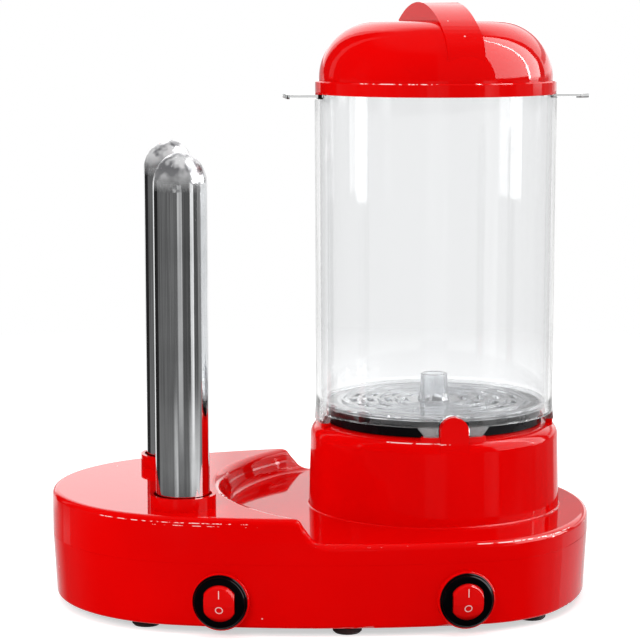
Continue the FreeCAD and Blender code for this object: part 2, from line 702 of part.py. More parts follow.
def spike_bracket():
    """Steel strap that clamps both spike flanges up against the deck."""
    z = bracket_z()
    top = z + BRACKET_T
    inboard = SPIKE_X + BRACKET_REACH_IN
    strap = box(SPIKE_X - BRACKET_REACH_OUT, inboard, -BRACKET_HALF_L, BRACKET_HALF_L, z, top)
    neck = box(SPIKE_X - BRACKET_NECK_OUT, inboard, -SPIKE_Y, SPIKE_Y, z, top)
    parts = [strap, neck]
    for side in (-1.0, 1.0):
        parts.append(cylinder(SPIKE_FLANGE_R, z, top, SPIKE_X, side * SPIKE_Y))
    plate = fuse_all(parts)
    for side in (-1.0, 1.0):
        hole_r = SPIKE_CORE_R + SCREW_HOLE_GAP
        plate = plate.cut(cylinder(hole_r, 0.0, DECK_Z, SPIKE_X, side * SPIKE_Y))
    for x, y in bracket_screws_at():
        plate = plate.cut(cylinder(SCREW_R + SCREW_HOLE_GAP, 0.0, DECK_Z, x, y))
    return plate


def bracket_screws():
    one = screw(DECK_Z - WALL - bracket_z(), BRACKET_SCREW_HEAD_R)
    places = [one.translated(vec(x, y, bracket_z())) for x, y in bracket_screws_at()]
    return Part.makeCompound(places)


# ---------------------------------------------------------------- rocker switches
def rocker_space(grow):
    """Ball about the pivot, flattened at both sides; the rocker turns inside it."""
    ball = Part.makeSphere(ROCKER_BALL_R + grow, vec(0, ROCKER_PIVOT_DEPTH, 0))
    half = ROCKER_HALF_W + grow
    return ball.common(box(-half, half, -THROUGH, THROUGH, -THROUGH, THROUGH))


def pivot_pin(r, half_l):
    return Part.makeCylinder(r, 2.0 * half_l, vec(-half_l, ROCKER_PIVOT_DEPTH, 0), vec(1, 0, 0))


def switch_body(x):
    bezel = y_cylinder(BEZEL_R, -BEZEL_T, 0.0)
    bezel = round_edges(bezel, BEZEL_EDGE_R, lambda edge: edge.BoundBox.YMax < -BEZEL_T / 2.0)
    barrel = y_cylinder(BARREL_R, -BEZEL_T / 2.0, BARREL_L)
    body = bezel.fuse(barrel).removeSplitter()
    mouth = box(-BARREL_R, BARREL_R, -THROUGH, ROCKER_PIVOT_DEPTH + ROCKER_WELL,
                -BARREL_R, BARREL_R)
    body = body.cut(rocker_space(ROCKER_GAP).common(mouth))
    bearing = pivot_pin(PIVOT_PIN_R + PIVOT_PIN_GAP, PIVOT_PIN_HALF_L + PIVOT_PIN_END_GAP)
    return placed_on_wall(body.cut(bearing), x, SWITCH_Z)


def rocker(x):
    """Rocker in its off position: the face is a shallow roof, off half pressed in."""
    crest = -BEZEL_T - ROCKER_CREST
    half_h = ROCKER_BALL_R + 1.0
    brow = crest + tan(radians(ROCKER_TILT)) * half_h
    back = ROCKER_PIVOT_DEPTH + ROCKER_BACK
    corners = [
        vec(0, crest, 0), vec(0, brow, half_h), vec(0, back, half_h),
        vec(0, back, -half_h), vec(0, brow, -half_h),
    ]
    face = Part.Face(Part.makePolygon(corners + corners[:1]))
    block = face.extrude(vec(2.0 * ROCKER_HALF_W, 0, 0)).translated(vec(-ROCKER_HALF_W, 0, 0))
    body = block.common(rocker_space(0.0)).fuse(pivot_pin(PIVOT_PIN_R, PIVOT_PIN_HALF_L))
    body.rotate(vec(0, ROCKER_PIVOT_DEPTH, 0), vec(1, 0, 0), ROCKER_TILT)
    return placed_on_wall(body, x, SWITCH_Z)


def switch_terminals():
    blades = []
    for x in (SWITCH_LEFT_X, SWITCH_RIGHT_X):
        for z in (-TERMINAL_Z, TERMINAL_Z):
            blade = box(-BLADE_W / 2.0, BLADE_W / 2.0, BARREL_L, BARREL_L + BLADE_L,
                        z - BLADE_T / 2.0, z + BLADE_T / 2.0)
            blades.append(placed_on_wall(blade, x, SWITCH_Z))
    return Part.makeCompound(blades)


# ---------------------------------------------------------------- steamer
def heating_pan():
    """Water pan: flat floor, rounded corner, turned-down lip, studs under the floor."""
    top = PAN_LIP_TOP_Z
    under = PAN_FLOOR_Z - PAN_T
    lip_low = top - PAN_LIP_H
    lip_under = top - PAN_LIP_T
    lip_in = PAN_LIP_R - PAN_LIP_T
    inner_r = PAN_R - PAN_T

    def corner(r_wall, z_floor, r):
        """Arc between a floor and a wall, given from the floor's end upward."""
        bend = r * (1.0 - sqrt(0.5))
        return [vec(r_wall - r, 0, z_floor), vec(r_wall - bend, 0, z_floor + bend),
                vec(r_wall, 0, z_floor + r)]

    outer = corner(PAN_R, under, PAN_CORNER_R)
    inner = corner(inner_r, PAN_FLOOR_Z, PAN_CORNER_R - PAN_T)
    lip = [
        outer[2], vec(PAN_R, 0, lip_under), vec(lip_in, 0, lip_under), vec(lip_in, 0, lip_low),
        vec(PAN_LIP_R, 0, lip_low), vec(PAN_LIP_R, 0, top - PAN_LIP_EDGE),
        vec(PAN_LIP_R - PAN_LIP_EDGE, 0, top), vec(inner_r, 0, top), inner[2],
    ]
    edges = [line(vec(0, 0, under), outer[0]), Part.Arc(*outer).toShape()]
    edges += [line(a, b) for a, b in zip(lip, lip[1:])]
    edges += [
        Part.Arc(*reversed(inner)).toShape(),
        line(inner[0], vec(0, 0, PAN_FLOOR_Z)),
        line(vec(0, 0, PAN_FLOOR_Z), vec(0, 0, under)),
    ]
    pan = profile_face(edges).revolve(vec(0, 0, 0), UP, 360).translated(vec(TUBE_X, 0, 0))
    studs = [cylinder(STUD_R, STUD_BOTTOM_Z, under + PAN_T / 2.0, x, y) for x, y in studs_at()]
    return fuse_all([pan] + studs)


def studs_at():
    places = []
    for index in range(STUD_COUNT):
        angle = radians(STUD_START + index * 360.0 / STUD_COUNT)
        places.append((TUBE_X + STUD_PITCH_R * cos(angle), STUD_PITCH_R * sin(angle)))
    return places


def pan_gasket():
    """Silicone ring inside the pan's lip, resting on the rim of the well."""
    r_in = PAN_R + CLEAR / 2.0
    r_out = PAN_LIP_R - PAN_LIP_T - CLEAR
    return ring(r_out, r_in, WELL_RIM_Z, PAN_LIP_TOP_Z - PAN_LIP_T, TUBE_X)


def pan_heater():
    """Tubular ring element under the pan's floor, ends turned down."""
    z = PAN_FLOOR_Z - PAN_T - HEATER_ROD_R - CLEAR
    hoop = Part.makeTorus(HEATER_R, HEATER_ROD_R, vec(0, 0, z), UP, -180.0, 180.0,
                          360.0 - HEATER_GAP)
    parts = [turned(hoop, -90.0 + HEATER_GAP / 2.0)]
    for way in (-1.0, 1.0):
        angle = radians(-90.0 + way * HEATER_GAP / 2.0)
        joint = vec(HEATER_R * cos(angle), HEATER_R * sin(angle), z)
        tangent = vec(sin(angle), -cos(angle), 0) * way
        centre = joint - UP * HEATER_DROP_R
        face = Part.Face(Part.Wire([Part.makeCircle(HEATER_ROD_R, joint, tangent)]))
        parts.append(face.revolve(centre, tangent.cross(UP) * -1.0, 90.0))
        low = centre + tangent * HEATER_DROP_R
        parts.append(Part.makeCylinder(HEATER_ROD_R, HEATER_TAIL, low, UP * -1.0))
    return fuse_all(parts).translated(vec(TUBE_X, 0, 0))


def heat_shield():
    """Pressed disc that the pan's nuts pull up inside the pedestal."""
    z0 = SHIELD_TOP_Z - SHIELD_T
    plate = cylinder(SHIELD_R, z0, SHIELD_TOP_Z, TUBE_X)
    for x, y in studs_at():
        plate = plate.cut(cylinder(STUD_R + 3.0 * CLEAR, z0, SHIELD_TOP_Z, x, y))
    plate = plate.cut(cylinder(THERMOSTAT_R + 6.0 * CLEAR, z0, SHIELD_TOP_Z, TUBE_X))
    half_l = HEATER_R * sin(radians(HEATER_GAP / 2.0)) + HEATER_DROP_R + 2.0 * HEATER_ROD_R
    middle_y = -HEATER_R
    half_w = 2.5 * HEATER_ROD_R
    return plate.cut(box(TUBE_X - half_l, TUBE_X + half_l, middle_y - half_w, middle_y + half_w,
                         z0, SHIELD_TOP_Z))


def pan_nuts():
    z0 = SHIELD_TOP_Z - SHIELD_T - NUT_H
    corner_r = NUT_ACROSS / 2.0 / cos(radians(30.0))
    corners = []
    for index in range(6):
        angle = radians(60.0 * index)
        corners.append(vec(corner_r * cos(angle), corner_r * sin(angle), z0))
    face = Part.Face(Part.makePolygon(corners + corners[:1]))
    nut = face.extrude(vec(0, 0, NUT_H)).cut(cylinder(STUD_R + NUT_THREAD_GAP, z0, z0 + NUT_H))
    return Part.makeCompound([nut.translated(vec(x, y, 0)) for x, y in studs_at()])


def thermostat():
    """Snap disc thermostat that looks at the pan's floor through the heat shield."""
    z_flange = SHIELD_TOP_Z - SHIELD_T
    body_z = z_flange - THERMOSTAT_H
    body = cylinder(THERMOSTAT_R, body_z, PAN_FLOOR_Z - PAN_T - CLEAR)
    flange = cylinder(THERMOSTAT_FLANGE_R, z_flange - SHIELD_T, z_flange)
    parts = [body, flange]
    for x in (-THERMOSTAT_BLADE_X, THERMOSTAT_BLADE_X):
        parts.append(box(x - BLADE_T / 2.0, x + BLADE_T / 2.0, -BLADE_W / 2.0, BLADE_W / 2.0,
                         body_z - BLADE_L, body_z + 1.0))
    return fuse_all(parts).translated(vec(TUBE_X, 0, 0))


def thermal_fuse():
    """One-shot fuse in its sleeve, strapped under the heat shield."""
    z = SHIELD_TOP_Z - SHIELD_T - FUSE_R
    along = vec(1, 0, 0)
    sleeve = Part.makeCylinder(FUSE_R, FUSE_L, vec(TUBE_X - FUSE_L / 2.0, FUSE_Y, z), along)
    lead = Part.makeCylinder(FUSE_LEAD_R, FUSE_LEAD_L,
                             vec(TUBE_X - FUSE_LEAD_L / 2.0, FUSE_Y, z), along)
    return sleeve.fuse(lead).removeSplitter()


def steam_tray():
    """Perforated tray: rings of slots between ribs, a raised lip, a centring rib, a post."""
    z0 = PAN_LIP_TOP_Z
    z1 = z0 + TRAY_T
    rooted = TRAY_T / 4.0
    parts = [
        cylinder(TRAY_R, z0, z1),
        ring(TRAY_R, TRAY_R - TRAY_LIP_W, z1 - rooted, z1 + TRAY_LIP_H),
        ring(TRAY_RIB_R, TRAY_RIB_R - TRAY_RIB_T, z0 - TRAY_RIB_H, z0 + rooted),
    ]
    for r in RIB_RADII:
        parts.append(ring(r + RIB_W / 2.0, r - RIB_W / 2.0, z1 - rooted, z1 + RIB_H))
    edge = POST_R - POST_BORE_R
    post = [
        (0.0, z0 + rooted), (POST_R + POST_FLARE, z0 + rooted), (POST_R + POST_FLARE, z1),
        (POST_R + POST_FLARE / 4.0, z1 + POST_FLARE_H), (POST_R, POST_TOP_Z - edge / 4.0),
        (POST_R - edge / 4.0, POST_TOP_Z), (0.0, POST_TOP_Z),
    ]
    parts.append(revolve_rz(post))
    slots = []
    for r, count in SLOT_RINGS:
        pitch = 360.0 / count
        slot = sector(r + SLOT_W / 2.0, r - SLOT_W / 2.0, z0 - 1.0, z1 + 1.0, 0.0,
                      pitch * SLOT_FILL)
        slots += [turned(slot, pitch * index) for index in range(count)]
    tray = fuse_all(parts).cut(Part.makeCompound(slots))
    bore = cylinder(POST_BORE_R, z0 - 1.0, POST_TOP_Z + 1.0)
    return tray.cut(bore).removeSplitter().translated(vec(TUBE_X, 0, 0))


def clear_cylinder():
    """Moulded clear cylinder: tapered wall, four legs, key notch, two lifting ears."""
    leg_z = SEAT_PAD_Z

    def cone(r_bottom, r_top, z0, z1):
        return Part.makeCone(r_bottom, r_top, z1 - z0, vec(0, 0, z0))

    outer = cone(TUBE_R_BOTTOM, TUBE_R_TOP, leg_z, TUBE_TOP_Z)
    inner = cone(TUBE_R_BOTTOM - TUBE_WALL, TUBE_R_TOP - TUBE_WALL, leg_z, TUBE_TOP_Z)
    band_r = TUBE_R_BOTTOM + TUBE_FOOT_BAND_T
    band = cone(band_r, TUBE_R_BOTTOM, leg_z, TUBE_BOTTOM_Z + TUBE_FOOT_BAND_H)
    ear = box(-EAR_REACH, EAR_REACH, -EAR_W / 2.0, EAR_W / 2.0, TUBE_TOP_Z - EAR_T, TUBE_TOP_Z)
    ear = round_edges(ear, EAR_CORNER_R, lambda edge: edge.BoundBox.ZLength > EAR_T / 2.0)
    lip = ring(TUBE_LIP_R, TUBE_R_TOP - TUBE_WALL, TUBE_TOP_Z - 1.0, TUBE_TOP_Z + TUBE_LIP_H)
    tube = fuse_all([outer, band, ear]).cut(inner).fuse(lip)

    skirt = ring(TUBE_R_BOTTOM + TUBE_WALL, TUBE_R_BOTTOM - 2.0 * TUBE_WALL, leg_z - 1.0,
                 TUBE_BOTTOM_Z)
    half_top = TUBE_R_BOTTOM * sin(radians(LEG_TOP_SWEEP / 2.0))
    half_foot = TUBE_R_BOTTOM * sin(radians(LEG_FOOT_SWEEP / 2.0))
    outline = [
        vec(0, -half_foot, leg_z - 1.0), vec(0, half_foot, leg_z - 1.0),
        vec(0, half_foot, leg_z), vec(0, half_top, TUBE_BOTTOM_Z),
        vec(0, half_top, TUBE_BOTTOM_Z + 1.0), vec(0, -half_top, TUBE_BOTTOM_Z + 1.0),
        vec(0, -half_top, TUBE_BOTTOM_Z), vec(0, -half_foot, leg_z),
    ]
    leg = Part.Face(Part.makePolygon(outline + outline[:1])).extrude(vec(EAR_REACH, 0, 0))
    legs = Part.makeCompound([turned(leg, direction) for direction in LEG_DIRECTIONS])
    tube = tube.cut(skirt.cut(legs))
    tube = tube.translated(vec(TUBE_X, 0, 0)).cut(key_tongue(NOTCH_GAP, leg_z - 1.0))
    return tube.removeSplitter()


# ---------------------------------------------------------------- lid
def dome(r_out, corner, z0, z1):
    """Low dome: straight side, one round corner, flat top."""
    bend = corner * (1.0 - sqrt(0.5))
    shoulder = vec(r_out, 0, z1 - corner)
    crown = vec(r_out - corner, 0, z1)
    edges = [
        line(vec(0, 0, z0), vec(r_out, 0, z0)),
        line(vec(r_out, 0, z0), shoulder),
        Part.Arc(shoulder, vec(r_out - bend, 0, z1 - bend), crown).toShape(),
        line(crown, vec(0, 0, z1)),
        line(vec(0, 0, z1), vec(0, 0, z0)),
    ]
    return profile_face(edges).revolve(vec(0, 0, 0), UP, 360)


def fin(inset):
    """Upright handle: long top arc running tangent into two tight end arcs."""
    top_r = FIN_TOP_R - inset
    end_r = FIN_END_R - inset
    top_c = FIN_TOP_Z - FIN_TOP_R
    end_s = FIN_HALF_L - FIN_END_R
    lean = asin(end_s / (FIN_TOP_R - FIN_END_R))
    end_z = top_c + (FIN_TOP_R - FIN_END_R) * cos(lean)
    foot_z = LID_TOP_Z - LID_CORNER_R + FIN_FOOT_UP

    def on_top(angle):
        return vec(0, top_r * sin(angle), top_c + top_r * cos(angle))

    def on_end(side, angle):
        return vec(0, side * (end_s + end_r * sin(angle)), end_z + end_r * cos(angle))

    right = on_end(1.0, radians(90.0))
    left = on_end(-1.0, radians(90.0))
    mid_lean = (lean + radians(90.0)) / 2.0
    edges = [
        Part.Arc(left, on_end(-1.0, mid_lean), on_end(-1.0, lean)).toShape(),
        Part.Arc(on_top(-lean), on_top(0.0), on_top(lean)).toShape(),
        Part.Arc(on_end(1.0, lean), on_end(1.0, mid_lean), right).toShape(),
        line(right, vec(0, right.y, foot_z)),
        line(vec(0, right.y, foot_z), vec(0, left.y, foot_z)),
        line(vec(0, left.y, foot_z), left),
    ]
    half_t = FIN_T / 2.0 - inset
    return profile_face(edges).extrude(vec(2.0 * half_t, 0, 0)).translated(vec(-half_t, 0, 0))


def lid():
    """Hollow domed lid; a rebate under its rim drops over the cylinder's upstand."""
    z0 = TUBE_TOP_Z
    rim_top = z0 + LID_RIM_H
    edge = LID_WALL / 4.0
    rim = revolve_rz([
        (0.0, z0), (LID_RIM_R, z0), (LID_RIM_R, rim_top - edge), (LID_RIM_R - edge, rim_top),
        (0.0, rim_top),
    ])
    cap = dome(LID_DOME_R, LID_CORNER_R, z0, LID_TOP_Z)
    hollow = dome(LID_DOME_R - LID_WALL, LID_CORNER_R - LID_WALL, z0 - 1.0, LID_TOP_Z - LID_WALL)
    rebate = cylinder(TUBE_LIP_R + LID_REBATE_GAP, z0 - 1.0, z0 + TUBE_LIP_H + LID_REBATE_GAP)
    shell = fuse_all([rim, cap, fin(0.0)]).cut(hollow).cut(rebate).cut(fin(LID_WALL))
    return turned(shell.removeSplitter(), LID_TURN).translated(vec(TUBE_X, 0, 0))


# ---------------------------------------------------------------- mains wiring
def terminal_block():
    """Screw terminal block on the bottom cover, beside the cord gland."""
    z0 = FOOT_H + COVER_T
    x = SIDE_CENTRE.x
    block = box(x - BLOCK_HALF_L, x + BLOCK_HALF_L, BLOCK_Y0, BLOCK_Y0 + BLOCK_W,
                z0, z0 + BLOCK_H)
    for way in (-1, 0, 1):
        at_x = x + way * BLOCK_PITCH
        screw_way = cylinder(BLOCK_SCREW_R, z0 + BLOCK_SCREW_Z, z0 + THROUGH,
                             at_x, BLOCK_Y0 + BLOCK_W / 2.0)
        wire_way = Part.makeCylinder(BLOCK_WIRE_R, THROUGH,
                                     vec(at_x, BLOCK_Y0 - 1.0, z0 + BLOCK_WIRE_Z), vec(0, 1, 0))
        block = block.cut(screw_way).cut(wire_way)
    return block


NODES = {
    "upper_housing": upper_housing,
    "lower_body": lower_body,
    "bottom_cover": bottom_cover,
    "feet": feet,
    "cover_screws": cover_screws,
    "cord_gland": cord_gland,
    "terminal_block": terminal_block,
    "spike_front": lambda: spike_sleeve(-1.0),
    "spike_rear": lambda: spike_sleeve(1.0),
    "spike_core_front": lambda: spike_core(-1.0),
    "spike_core_rear": lambda: spike_core(1.0),
    "spike_bracket": spike_bracket,
    "bracket_screws": bracket_screws,
    "switch_body_left": lambda: switch_body(SWITCH_LEFT_X),
    "switch_body_right": lambda: switch_body(SWITCH_RIGHT_X),
    "switch_terminals": switch_terminals,
    "rocker_left": lambda: rocker(SWITCH_LEFT_X),
    "rocker_right": lambda: rocker(SWITCH_RIGHT_X),
    "heating_pan": heating_pan,
    "pan_gasket": pan_gasket,
    "pan_heater": pan_heater,
    "heat_shield": heat_shield,
    "pan_nuts": pan_nuts,
    "thermostat": thermostat,
    "thermal_fuse": thermal_fuse,
    "steam_tray": steam_tray,
    "clear_cylinder": clear_cylinder,
    "lid": lid,
}


os.makedirs("parts", exist_ok=True)
for node, make in NODES.items():
    shape = make()
    if not shape.isValid():
        print("invalid solid:", node)
    shape.exportStep("parts/%s.step" % node)
    print("%-18s %7.1f cm3 %d solids" % (node, shape.Volume / 1000.0, len(shape.Solids)))
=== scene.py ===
import json
from math import atan2, cos, pi, radians, sin

import bmesh
import bpy
from mathutils import Matrix, Vector


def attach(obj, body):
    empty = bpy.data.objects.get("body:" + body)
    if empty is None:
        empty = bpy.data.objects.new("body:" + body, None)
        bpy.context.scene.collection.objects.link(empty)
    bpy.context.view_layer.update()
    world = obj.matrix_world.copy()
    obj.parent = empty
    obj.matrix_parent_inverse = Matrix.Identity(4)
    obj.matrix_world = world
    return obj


# Looks of a two-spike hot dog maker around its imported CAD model. Metres.
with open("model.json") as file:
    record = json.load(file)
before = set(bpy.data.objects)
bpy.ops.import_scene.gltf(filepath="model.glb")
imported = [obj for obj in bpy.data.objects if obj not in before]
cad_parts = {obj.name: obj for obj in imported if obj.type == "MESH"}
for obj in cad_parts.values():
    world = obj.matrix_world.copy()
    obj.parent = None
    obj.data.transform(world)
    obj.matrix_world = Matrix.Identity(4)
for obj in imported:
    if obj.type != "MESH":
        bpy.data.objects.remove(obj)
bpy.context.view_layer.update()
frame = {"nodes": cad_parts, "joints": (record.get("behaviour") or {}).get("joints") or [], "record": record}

MM = 0.001

# ---------------------------------------------------------------- camera
CAMERA_AT = (-0.1249, -1.0722, 0.2754)
CAMERA_TURN = 6.63        # degrees to the right of straight back
CAMERA_PITCH = 7.72       # degrees down
CAMERA_ROLL = -0.07
CAMERA_LENS = 131.39      # mm on a 36 mm sensor


def make_camera():
    data = bpy.data.cameras.new("camera")
    data.lens = CAMERA_LENS
    data.sensor_width = 36.0
    camera = bpy.data.objects.new("camera", data)
    bpy.context.scene.collection.objects.link(camera)
    turn = Matrix.Rotation(-radians(CAMERA_TURN), 4, "Z")
    pitch = Matrix.Rotation(radians(90.0 - CAMERA_PITCH), 4, "X")
    roll = Matrix.Rotation(radians(CAMERA_ROLL), 4, "Z")
    camera.matrix_world = Matrix.Translation(CAMERA_AT) @ turn @ pitch @ roll
    bpy.context.scene.camera = camera


# ---------------------------------------------------------------- node helpers
class Shader:
    """A Principled material with short calls for its procedural detail."""

    def __init__(self, name, colour, roughness, metallic=0.0, ior=1.5):
        self.material = bpy.data.materials.new(name)
        self.material.use_nodes = True
        self.tree = self.material.node_tree
        self.bsdf = self.tree.nodes["Principled BSDF"]
        self.bsdf.inputs["Base Color"].default_value = (*colour, 1.0)
        self.bsdf.inputs["Roughness"].default_value = roughness
        self.bsdf.inputs["Metallic"].default_value = metallic
        self.bsdf.inputs["IOR"].default_value = ior
        self.where = self.add("ShaderNodeTexCoord").outputs["Object"]

    def add(self, kind, **settings):
        node = self.tree.nodes.new(kind)
        for key, value in settings.items():
            setattr(node, key, value)
        return node

    def link(self, source, target):
        self.tree.links.new(source, target)

    def axes(self):
        """X, Y and Z of the shaded point on the part at rest."""
        node = self.add("ShaderNodeSeparateXYZ")
        self.link(self.where, node.inputs["Vector"])
        return node.outputs["X"], node.outputs["Y"], node.outputs["Z"]

    def stretched(self, scale):
        """The shaded point, scaled along each axis."""
        mapping = self.add("ShaderNodeMapping")
        mapping.inputs["Scale"].default_value = scale
        self.link(self.where, mapping.inputs["Vector"])
        return mapping.outputs["Vector"]

    def noise(self, scale, detail=3.0, roughness=0.5, vector=None):
        node = self.add("ShaderNodeTexNoise")
        node.inputs["Scale"].default_value = scale
        node.inputs["Detail"].default_value = detail
        node.inputs["Roughness"].default_value = roughness
        self.link(vector or self.where, node.inputs["Vector"])
        return node.outputs["Fac"]

    def dots(self, scale, size, keep):
        """Sparse small round spots: 1 on a spot, 0 elsewhere."""
        cells = self.add("ShaderNodeTexVoronoi")
        cells.inputs["Scale"].default_value = scale
        self.link(self.where, cells.inputs["Vector"])
        near = self.ramp(cells.outputs["Distance"], size * 0.6, size, 1.0, 0.0)
        luck = self.add("ShaderNodeSeparateColor")
        self.link(cells.outputs["Color"], luck.inputs["Color"])
        chosen = self.ramp(luck.outputs["Red"], keep, keep + 0.004, 1.0, 0.0)
        return self.maths("MULTIPLY", near, chosen)

    def ramp(self, value, low, high, low_out=0.0, high_out=1.0):
        node = self.add("ShaderNodeMapRange")
        node.inputs["From Min"].default_value = low
        node.inputs["From Max"].default_value = high
        node.inputs["To Min"].default_value = low_out
        node.inputs["To Max"].default_value = high_out
        self.link(value, node.inputs["Value"])
        return node.outputs["Result"]

    def rise(self, value, limits):
        """0 before the first limit and 1 past the second, in mm, either way round."""
        return self.ramp(value, limits[0] * MM, limits[1] * MM)

    def all_of(self, *masks):
        """1 where every mask is 1."""
        product = masks[0]
        for mask in masks[1:]:
            product = self.maths("MULTIPLY", product, mask)
        return product

    def maths(self, operation, a, b):
        node = self.add("ShaderNodeMath", operation=operation)
        for socket, value in zip(node.inputs, (a, b)):
            if isinstance(value, (int, float)):
                socket.default_value = value
            else:
                self.link(value, socket)
        return node.outputs["Value"]

    def mix_colour(self, factor, a, b):
        node = self.add("ShaderNodeMix", data_type="RGBA")
        self.link(factor, node.inputs["Factor"])
        for socket, value in ((node.inputs["A"], a), (node.inputs["B"], b)):
            if isinstance(value, tuple):
                socket.default_value = (*value, 1.0)
            else:
                self.link(value, socket)
        return node.outputs["Result"]

    def paint(self, source):
        self.link(source, self.bsdf.inputs["Base Color"])

    def roughen(self, source):
        self.link(source, self.bsdf.inputs["Roughness"])

    def bump(self, height, depth, strength=1.0):
        node = self.add("ShaderNodeBump")
        node.inputs["Strength"].default_value = strength
        node.inputs["Distance"].default_value = depth
        self.link(height, node.inputs["Height"])
        self.link(node.outputs["Normal"], self.bsdf.inputs["Normal"])


# ---------------------------------------------------------------- materials
RED = (0.74, 0.0008, 0.0008)
RED_DEEP = (0.70, 0.0006, 0.0006)
RED_GLOSS = 0.22
# The pedestal's upright wall is duller, and the step's wall duller still but for one
# streak along it. Each pair of mm runs from outside the place to inside it.
RED_WALL_GLOSS = 0.07
RED_STEP_GLOSS = 0.015
WALL_FOOT_Z = (41.8, 42.6)
PEDESTAL_HEAD_Z = (80.5, 78.5)
PEDESTAL_LEFT_X = (-8.5, -8.0)
STEP_HEAD_Z = (52.0, 50.5)
STEP_LEFT_X = (-56.0, -54.0)
STEP_RIGHT_X = (-8.0, -8.5)
STREAK_FOOT_Z = (46.6, 47.0)
STREAK_HEAD_Z = (47.8, 47.3)
STREAK_DULL = 0.35        # share of the wall's dullness left on the streak
# Pale colour painted on the red mouldings, for dust dots and for painted highlights along edges that catch
# the light, with the soft edge of those lines in mm.
DUST_AND_HIGHLIGHT = (0.92, 0.66, 0.64)
HIGHLIGHT_BLUR = 0.08         # mm
SMOKE = (0.50, 0.50, 0.49, 1.0)          # what thick clear plastic tends towards
SHADOW_TINT = (0.93, 0.94, 0.95, 1.0)    # and what its shadow lets through
LEGS_TOP = 86.2           # mm; the clear cylinder's legs, below this height, are milky
MILKY_CLEAR = 0.86        # share of light that goes straight through them and the tray
# The spun ends of the spikes are half metal, with light and dark patches of painted reflection in their
# colour.
DOME_Z = (194.0, 204.0)   # mm; the spun ends of the spikes are satin and uneven
DOME_METAL = 0.45
DOME_PAINTED_LIGHT = (0.85, 0.85, 0.86)
DOME_PAINTED_DARK = (0.22, 0.22, 0.23)
DOME_WAVES = 0.9          # mm
DRAWN_LINES = 0.003       # mm
# Painted highlights, painted as broken pale lines where edges catch the light, in mm: heights
# from, to, X from, to, and the share of the line that is left red.
PAINTED_EDGE_HIGHLIGHTS = (
    (50.25, 50.50, -104.0, -42.0, 0.48),
    (49.05, 49.25, -84.0, -38.0, 0.56),
    (40.20, 40.55, -14.0, 30.0, 0.58),
    (239.80, 240.10, 14.0, 46.0, 0.53),
    (79.45, 79.75, 24.0, 51.0, 0.46),
    (40.25, 40.50, 60.0, 106.0, 0.44),
)


def painted_edge_highlight(s, low, high, left, right, red_share):
    """1 on the painted highlight of one broken line along the front, 0 elsewhere."""
    x, y, z = s.axes()
    broken = s.ramp(s.noise(330.0, 5.0, 0.6), red_share - 0.01, red_share + 0.03)
    return s.all_of(s.rise(z, (low - HIGHLIGHT_BLUR, low)), s.rise(z, (high + HIGHLIGHT_BLUR, high)),
                    s.rise(x, (left - 1.0, left)), s.rise(x, (right + 1.0, right)),
                    s.rise(y, (0.0, -1.0)), broken)


def red_gloss(s):
    """Gloss of the red mouldings, from place to place."""
    x, _, z = s.axes()
    foot = s.rise(z, WALL_FOOT_Z)
    pedestal = s.all_of(foot, s.rise(z, PEDESTAL_HEAD_Z), s.rise(x, PEDESTAL_LEFT_X))
    streak = s.all_of(s.rise(z, STREAK_FOOT_Z), s.rise(z, STREAK_HEAD_Z))
    step = s.all_of(foot, s.rise(z, STEP_HEAD_Z), s.rise(x, STEP_LEFT_X),
                    s.rise(x, STEP_RIGHT_X), s.ramp(streak, 0.0, 1.0, 1.0, STREAK_DULL))
    gloss = s.ramp(pedestal, 0.0, 1.0, RED_GLOSS, RED_WALL_GLOSS)
    return s.maths("MULTIPLY", gloss, s.ramp(step, 0.0, 1.0, 1.0, RED_STEP_GLOSS / RED_GLOSS))


def red_plastic():
    s = Shader("red_gloss_plastic", RED, 0.05, ior=1.5)
    s.link(red_gloss(s), s.bsdf.inputs["Specular IOR Level"])
    red = s.mix_colour(s.ramp(s.noise(18.0, 2.0), 0.35, 0.65), RED, RED_DEEP)
    # Pale dots of dust and of painted glints, then the broken lines of painted highlight.
    dust_and_highlights = s.dots(170.0, 0.10, 0.035)
    for row in PAINTED_EDGE_HIGHLIGHTS:
        dust_and_highlights = s.maths("MAXIMUM", dust_and_highlights, painted_edge_highlight(s, *row))
    s.paint(s.mix_colour(dust_and_highlights, red, DUST_AND_HIGHLIGHT))
    s.roughen(s.ramp(s.noise(60.0, 4.0), 0.3, 0.75, 0.025, 0.07))
    s.bump(s.noise(420.0, 2.0), 0.000008, 0.5)
    return s.material


def clear_plastic(name, tint, roughness, haze_scale, haze_depth, soak, milky_z=None):
    """Clear plastic that darkens with depth; milky all over, or only below milky_z."""
    s = Shader(name, tint, roughness, ior=1.49)
    s.bsdf.inputs["Transmission Weight"].default_value = MILKY_CLEAR
    if milky_z is not None:
        _, _, z = s.axes()
        clear = s.ramp(z, milky_z * MM, (milky_z + 1.0) * MM, MILKY_CLEAR, 1.0)
        s.link(clear, s.bsdf.inputs["Transmission Weight"])
    s.roughen(s.ramp(s.noise(haze_scale, 3.0), 0.35, 0.8, roughness, roughness + 0.06))
    s.bump(s.noise(haze_scale * 0.5, 2.0), haze_depth, 0.5)
    through = s.add("ShaderNodeBsdfTransparent")
    through.inputs["Color"].default_value = SHADOW_TINT
    mix = s.add("ShaderNodeMixShader")
    s.link(s.add("ShaderNodeLightPath").outputs["Is Shadow Ray"], mix.inputs[0])
    s.link(s.bsdf.outputs["BSDF"], mix.inputs[1])
    s.link(through.outputs["BSDF"], mix.inputs[2])
    output = s.tree.nodes["Material Output"]
    s.link(mix.outputs["Shader"], output.inputs["Surface"])
    inside = s.add("ShaderNodeVolumeAbsorption")
    inside.inputs["Color"].default_value = SMOKE
    inside.inputs["Density"].default_value = soak
    s.link(inside.outputs["Volume"], output.inputs["Volume"])
    return s.material


